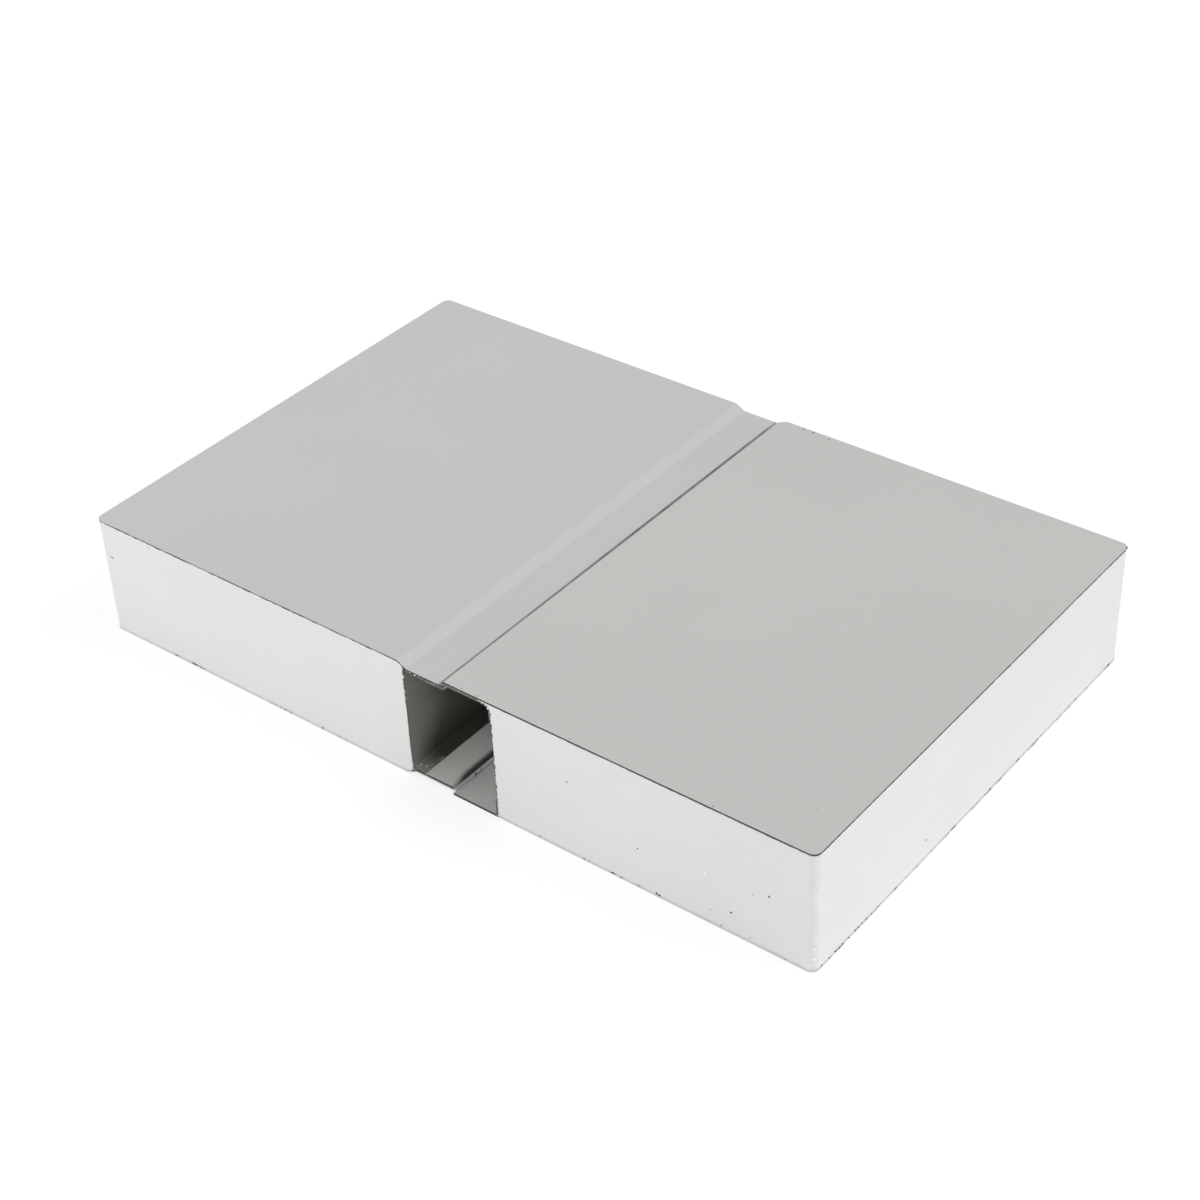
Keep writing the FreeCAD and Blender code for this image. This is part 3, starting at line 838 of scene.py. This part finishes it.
# Each skin's two tones of paint (the bottom skins' lighter ones partly painted light for the hollow), the
# noise limits of the dust on its sawn edges, the height below which its folded layer's edge shows and that
# layer's noise limits, the height above which it takes the painted seam shade with dirt, and whether it has
# the painted shade along its fold
SKIN_LOOKS = {
    "left_top_skin": {
        "paint": ((0.523, 0.518, 0.508), (0.511, 0.507, 0.497)),
        "front_dust": (0.36, 0.98), "end_dust": (0.36, 0.98),
        "fold_below": 0.04695, "fold_mottle": (0.42, 0.62), "seam_shade_above": 0.0475, "fold_shade": False,
    },
    "right_top_skin": {
        "paint": ((0.518, 0.522, 0.503), (0.506, 0.511, 0.492)),
        "front_dust": (0.78, 1.0), "end_dust": (0.78, 1.0),
        "fold_below": 0.04915, "fold_mottle": (0.45, 0.75), "seam_shade_above": 0.0492, "fold_shade": False,
    },
    "left_bottom_skin": {
        # Lighter than the top skins' paint: partly painted light for its strip in the hollow
        "paint": ((0.625, 0.628, 0.602), (0.600, 0.603, 0.580)),
        "front_dust": (0.12, 0.42), "end_dust": (0.24, 0.46),
        "fold_below": None, "fold_mottle": None, "seam_shade_above": None, "fold_shade": True,
    },
    "right_bottom_skin": {
        # Lighter than the top skins' paint: partly painted light for its strip in the hollow
        "paint": ((0.585, 0.588, 0.568), (0.560, 0.563, 0.545)),
        "front_dust": (0.08, 0.32), "end_dust": (0.28, 0.52),
        "fold_below": None, "fold_mottle": None, "seam_shade_above": None, "fold_shade": False,
    },
}

# The channel's back coat, with painted shade: darker deep inside the joint, and darkest low down there
COAT_NEAR, COAT_DEEP_SHADE, COAT_LOW_SHADE = (0.265, 0.258, 0.225), (0.105, 0.103, 0.090), (0.050, 0.050, 0.043)
COAT_MOTTLE, COAT_GRAIN = (45.0, 3.0), (700.0, 4.0, 0.6)
COAT_DEPTH, COAT_WANDER, COAT_LOW = 0.026, 0.003, (0.003, 0.022)
CHALK, CHALK_RANGE, CHALK_MOST = (0.26, 0.26, 0.24), (0.62, 0.86), 0.4
COAT_DUST, COAT_DUST_RANGE = (600.0, 3.0), (0.58, 0.7)
COAT_ROUGHNESS, COAT_BUMP = (0.58, 0.68), (0.00003, 0.4)
# How strongly the channel and the foam shine
DULL_SPECULAR = 0.3


def channel_material():
    """The channel's grey back coat: matt, a little mottled, with painted shade that leaves it paler near the
    front and back.
    """
    material, graph, shader = new_material("channel_back_coat_and_shade")
    where = graph.place()
    _, y, z = graph.axes(where)
    mottle = graph.noise(where, *COAT_MOTTLE)
    grain = graph.noise(where, *COAT_GRAIN)
    side_gap = graph.minus(HALF_WIDTH * MM, graph.size_of(y))
    # Painted shade: darker deep inside the joint, and darker still low down
    wander = graph.ramp(mottle, *NOISE_RANGE, -COAT_WANDER, COAT_WANDER)
    low_shade = graph.ramp(z, *COAT_LOW, 1.0, 0.0)
    reach = graph.times(side_gap, graph.plus(1.0, low_shade))
    deep = graph.ramp(graph.plus(reach, wander), 0.0, COAT_DEPTH)
    coat = graph.mix(deep, COAT_NEAR, graph.mix(low_shade, COAT_DEEP_SHADE, COAT_LOW_SHADE))
    coat = graph.mix(graph.ramp(grain, *CHALK_RANGE, 0.0, CHALK_MOST), coat, CHALK)
    cut = graph.ramp(graph.size_of(graph.true_normal()[1]), *CUT_TURN)
    dust = graph.ramp(graph.noise(where, *COAT_DUST), *COAT_DUST_RANGE)
    edge = graph.mix(dust, BARE_STEEL, FOAM_DUST)
    graph.join(graph.mix(cut, coat, edge), shader.inputs["Base Color"])
    graph.join(graph.ramp(mottle, *WIDE_RANGE, *COAT_ROUGHNESS), shader.inputs["Roughness"])
    graph.join(graph.bump(grain, *COAT_BUMP), shader.inputs["Normal"])
    shader.inputs["Specular IOR Level"].default_value = DULL_SPECULAR
    return material


# The cut foam: its two whites, the welds between its beads, and the size of a bead as a scale
FOAM_WHITE, FOAM_SHADE = (0.872, 0.869, 0.868), (0.850, 0.848, 0.846)
FOAM_TONE, FOAM_GRAIN = (22.0, 4.0, 0.55), (1300.0, 3.0, 0.6)
BEAD_SCALE, BEAD_SHARE = 275.0, 0.25
WELD, WELD_WIDTH, WELD_SHARE = (0.815, 0.813, 0.810), 0.06, 0.28
# The glue lines at the skins, darkened as painted shade under the skins' edges. The lower one is finer and
# fainter.
GLUE_AND_SHADE, GLUE_NOISE = (0.22, 0.22, 0.21), (420.0, 3.0)
GLUE_RANGE, GLUE_WIDTHS, LOWER_GLUE_FINER = (0.35, 0.75), (0.00014, 0.0005), 2.5
GLUE_SHARE, LOWER_GLUE_SHARE = 0.8, 0.18
# Painted shade makes the front face a little greyer towards the right
FRONT_SHADE, FRONT_SHADE_SHARE = (0.78, 0.78, 0.775), 0.36
FRONT_SHADE_X, FRONT_SHADE_Y = (0.07, 0.15), (-0.0995, -0.0970)
FOAM_SMUDGE, FOAM_SMUDGE_SHARE = ((-0.1543, -0.0998, 0.0345), (0.0014, 0.0009, 0.00055)), 0.8
FOAM_ROUGHNESS, WELD_BUMP, FOAM_BUMP = (0.82, 0.94), (0.00005, 0.35), (0.00004, 0.4)


def foam_material():
    """Expanded polystyrene, cut: welded beads, faint seams between them, a dark glue line at the skins,
    partly painted shade.
    """
    material, graph, shader = new_material("cut_polystyrene")
    where = graph.place()
    x, y, z = graph.axes(where)
    bead_tone = graph.axes(graph.beads(where, BEAD_SCALE, "F1")["Color"])[0]
    welds = graph.beads(where, BEAD_SCALE, "DISTANCE_TO_EDGE")["Distance"]
    grain = graph.noise(where, *FOAM_GRAIN)
    foam = graph.mix(graph.ramp(graph.noise(where, *FOAM_TONE), *NOISE_RANGE), FOAM_WHITE, FOAM_SHADE)
    foam = graph.mix(graph.times(bead_tone, BEAD_SHARE), foam, FOAM_SHADE)
    foam = graph.mix(graph.ramp(welds, 0.0, WELD_WIDTH, WELD_SHARE, 0.0), foam, WELD)
    top_gap = graph.minus(CORE_TOP * MM, z)
    low_gap = graph.minus(z, CORE_BOTTOM * MM)
    glue_width = graph.ramp(graph.noise(where, *GLUE_NOISE), *GLUE_RANGE, *GLUE_WIDTHS)
    # The dark glue line here is partly painted shade under the skins' edges
    glue = graph.math("LESS_THAN", top_gap, glue_width)
    low_glue = graph.math("LESS_THAN", graph.times(low_gap, LOWER_GLUE_FINER), glue_width)
    foam = graph.mix(graph.times(glue, GLUE_SHARE), foam, GLUE_AND_SHADE)
    foam = graph.mix(graph.times(low_glue, LOWER_GLUE_SHARE), foam, GLUE_AND_SHADE)
    foam = graph.mix(graph.times(graph.smudge(where, *FOAM_SMUDGE), FOAM_SMUDGE_SHARE), foam, SMUDGE)
    # Painted shade, greyer towards the right of the front face
    front_shade = graph.times(graph.ramp(x, *FRONT_SHADE_X), graph.ramp(y, *FRONT_SHADE_Y, 1.0, 0.0))
    foam = graph.mix(graph.times(front_shade, FRONT_SHADE_SHARE), foam, FRONT_SHADE)
    graph.join(foam, shader.inputs["Base Color"])
    graph.join(graph.ramp(grain, *NOISE_RANGE, *FOAM_ROUGHNESS), shader.inputs["Roughness"])
    surface = graph.bump(grain, *FOAM_BUMP, graph.bump(welds, *WELD_BUMP))
    graph.join(surface, shader.inputs["Normal"])
    shader.inputs["Specular IOR Level"].default_value = DULL_SPECULAR
    return material


# The small bits' looks: a pale and a dark colour, the scale and limits of the noise between them,
# the roughness, and how metallic they are
GRAINS = {
    "dust_grey": ((0.34, 0.34, 0.33), (0.09, 0.09, 0.085), 900.0, (0.42, 0.66), 0.88, 0.0),
    "crumb_white": ((0.95, 0.95, 0.94), (0.86, 0.86, 0.85), 900.0, (0.34, 0.60), 0.88, 0.0),
    "grit_dark": ((0.12, 0.12, 0.115), (0.03, 0.03, 0.03), 1200.0, (0.5, 0.8), 0.7, 0.0),
    "burr_steel": ((0.16, 0.16, 0.155), (0.06, 0.06, 0.058), 700.0, (0.45, 0.75), 0.55, 0.3),
    # The curl's pale is a painted highlight and its dark a painted shade on its paint
    "curl_paint_and_light": ((0.72, 0.72, 0.70), (0.03, 0.03, 0.03), 800.0, (0.50, 0.60), 0.42, 0.0),
}
GRAIN_DETAIL, GRAIN_NOISE_ROUGHNESS = 3.0, 0.6
FINER, GRAIN_SPREAD, GRAIN_BUMP = 5, 0.06, (0.00003, 0.5)


def grain_material(name):
    """A mottled rough material for small bits."""
    pale, dark, scale, limits, roughness, metallic = GRAINS[name]
    material, graph, shader = new_material(name)
    where = graph.place()
    grain = graph.noise(where, scale, GRAIN_DETAIL, GRAIN_NOISE_ROUGHNESS)
    fine = graph.noise(where, scale * FINER, GRAIN_DETAIL)
    graph.join(graph.mix(graph.ramp(grain, *limits), dark, pale), shader.inputs["Base Color"])
    spread = graph.ramp(fine, *NOISE_RANGE, roughness - GRAIN_SPREAD, roughness + GRAIN_SPREAD)
    graph.join(spread, shader.inputs["Roughness"])
    graph.join(graph.bump(fine, *GRAIN_BUMP), shader.inputs["Normal"])
    shader.inputs["Metallic"].default_value = metallic
    return material


def dress(node, material):
    """Give a carried-over CAD node its material in every slot."""
    mesh = nodes[node].data
    for index in range(len(mesh.materials)):
        mesh.materials[index] = material
    if not mesh.materials:
        mesh.materials.append(material)


# Floor, light and camera, in metres

FLOOR_RADII, FLOOR_SECTORS, FLOOR_DROP = [0.4, 1.0, 2.5, 6.0], 48, 0.0002
# The floor's colour as light meets it, and its colour and glow where it is seen
FLOOR_TONE, FLOOR_SEEN_TONE = (0.80, 0.80, 0.80, 1), (0.26, 0.26, 0.26, 1)
FLOOR_GLOW, FLOOR_GLOW_IN_SHADOW = 0.78, 0.17
# How far inside the sample's outline the floor's glow starts to fall, and has fallen, as a painted shadow
# under it
SHADOW_START, SHADOW_END = 0.0010, 0.0035


def seen_directly(graph):
    """1 on camera, glossy and transmission rays."""
    path = graph.add("ShaderNodeLightPath").outputs
    seen = graph.math("MAXIMUM", path["Is Camera Ray"], path["Is Glossy Ray"])
    return graph.math("MAXIMUM", seen, path["Is Transmission Ray"])


def floor_material():
    """A pale floor, white to the camera and reflections, with the object's shadow and a painted shadow under
    it.
    """
    material, graph, shader = new_material("studio_floor")
    graph.tree.nodes.remove(shader)
    plain = graph.add("ShaderNodeBsdfDiffuse")
    plain.inputs["Color"].default_value = FLOOR_TONE
    dim = graph.add("ShaderNodeBsdfDiffuse")
    dim.inputs["Color"].default_value = FLOOR_SEEN_TONE
    x, y, _ = graph.axes(graph.place())
    # A painted shadow: the glow dims under the sample's outline
    under = graph.times(*(
        graph.ramp(graph.size_of(place), half * MM - SHADOW_END, half * MM - SHADOW_START, 1.0, 0.0)
        for place, half in ((x, SAWN_END), (y, HALF_WIDTH))
    ))
    glow = graph.add("ShaderNodeEmission")
    graph.join(graph.ramp(under, 0.0, 1.0, FLOOR_GLOW, FLOOR_GLOW_IN_SHADOW), glow.inputs["Strength"])
    both = graph.add("ShaderNodeAddShader")
    graph.join(dim.outputs[0], both.inputs[0])
    graph.join(glow.outputs[0], both.inputs[1])
    choice = graph.add("ShaderNodeMixShader")
    graph.join(seen_directly(graph), choice.inputs[0])
    graph.join(plain.outputs[0], choice.inputs[1])
    graph.join(both.outputs[0], choice.inputs[2])
    graph.join(choice.outputs[0], graph.tree.nodes["Material Output"].inputs["Surface"])
    return material


def background_floor():
    """A round level floor just under the object."""
    points = [(0.0, 0.0, 0.0)]
    for radius in FLOOR_RADII:
        for k in range(FLOOR_SECTORS):
            angle = math.tau * k / FLOOR_SECTORS
            points.append((radius * math.cos(angle), radius * math.sin(angle), 0.0))
    faces = [(0, 1 + k, 1 + (k + 1) % FLOOR_SECTORS) for k in range(FLOOR_SECTORS)]
    for ring in range(len(FLOOR_RADII) - 1):
        start, after = 1 + ring * FLOOR_SECTORS, 1 + (ring + 1) * FLOOR_SECTORS
        for k in range(FLOOR_SECTORS):
            following = (k + 1) % FLOOR_SECTORS
            faces.append((start + k, after + k, after + following, start + following))
    mesh = bpy.data.meshes.new("studio_floor")
    mesh.from_pydata(points, [], faces)
    mesh.materials.append(floor_material())
    floor = link(bpy.data.objects.new("studio_floor", mesh))
    floor.location.z = -FLOOR_DROP


SKY_COLOUR, SKY_LEVEL, SKY_SEEN_LEVEL = (1, 1, 1, 1), 0.56, 1.0
# The two broad lamps: each shines from its direction, as strongly as that vector is long
BROAD_LAMPS = {"key": Vector((0.23, 0.15, 0.26)), "front": Vector((0.03, -0.14, 0.145))}
LAMP_SOFTNESS = math.radians(38)
FILL_PLACE, FILL_SIZE, FILL_POWER = Vector((-0.75, -0.75, 0.27)), 0.5, 1.3


def aim(lamp, direction):
    """Turn a lamp so that it shines from a direction."""
    lamp.rotation_euler = direction.to_track_quat("Z", "Y").to_euler()


def studio_light():
    """An even pale surround, broad soft lamps from the right and the front, and a small one at the left."""
    world = bpy.data.worlds.new("studio")
    bpy.context.scene.world = world
    world.use_nodes = True
    graph = Graph(world.node_tree)
    background = world.node_tree.nodes["Background"]
    background.inputs["Color"].default_value = SKY_COLOUR
    strength = graph.ramp(seen_directly(graph), 0.0, 1.0, SKY_LEVEL, SKY_SEEN_LEVEL)
    graph.join(strength, background.inputs["Strength"])
    for name, direction in BROAD_LAMPS.items():
        lamp = bpy.data.lights.new(name, "SUN")
        lamp.energy = direction.length * math.pi
        lamp.angle = LAMP_SOFTNESS
        aim(link(bpy.data.objects.new(name, lamp)), direction)
    soft = bpy.data.lights.new("fill", "AREA")
    soft.size = FILL_SIZE
    soft.energy = FILL_POWER
    fill = link(bpy.data.objects.new("fill", soft))
    fill.location = FILL_PLACE
    aim(fill, FILL_PLACE)


CAMERA_AZIMUTH = math.radians(39.39)
CAMERA_ELEVATION = math.radians(36.18)
CAMERA_ROLL = math.radians(-2.73)
CAMERA_DISTANCE, CAMERA_TARGET = 0.8736, Vector((0.0038, -0.0070, 0.025))
# The lens and sensor are in millimetres
CAMERA_LENS, CAMERA_SENSOR = 71.55, 36.0
CAMERA_CLIP = 0.01, 50.0


def photo_camera():
    """The camera at the photograph's place."""
    flat = math.cos(CAMERA_ELEVATION)
    height = math.sin(CAMERA_ELEVATION)
    back = Vector((math.sin(CAMERA_AZIMUTH) * flat, -math.cos(CAMERA_AZIMUTH) * flat, height))
    level_right = (-back).cross(Vector((0, 0, 1))).normalized()
    level_up = level_right.cross(-back)
    right = math.cos(CAMERA_ROLL) * level_right + math.sin(CAMERA_ROLL) * level_up
    up = -math.sin(CAMERA_ROLL) * level_right + math.cos(CAMERA_ROLL) * level_up
    data = bpy.data.cameras.new("photo_camera")
    data.lens = CAMERA_LENS
    data.sensor_width = CAMERA_SENSOR
    data.clip_start, data.clip_end = CAMERA_CLIP
    camera = link(bpy.data.objects.new("photo_camera", data))
    turn = Matrix((right, up, back)).transposed().to_4x4()
    camera.matrix_world = Matrix.Translation(CAMERA_TARGET + back * CAMERA_DISTANCE) @ turn
    bpy.context.scene.camera = camera


# The scene

for node, look in SKIN_LOOKS.items():
    dress(node, skin_material(f"coated_{node}", look))
dress("edge_channel", channel_material())

foam_look = foam_material()
for node, shape in FOAM_BLOCKS.items():
    block = foam_block(**shape)
    block.data.materials.append(foam_look)
    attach(block, "root")
    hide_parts(node)

hem_dust()
foam_crumbs()
cut_grit()
edge_burrs()
steel_curl()

background_floor()
studio_light()
photo_camera()
bpy.context.scene.view_settings.view_transform = "Standard"
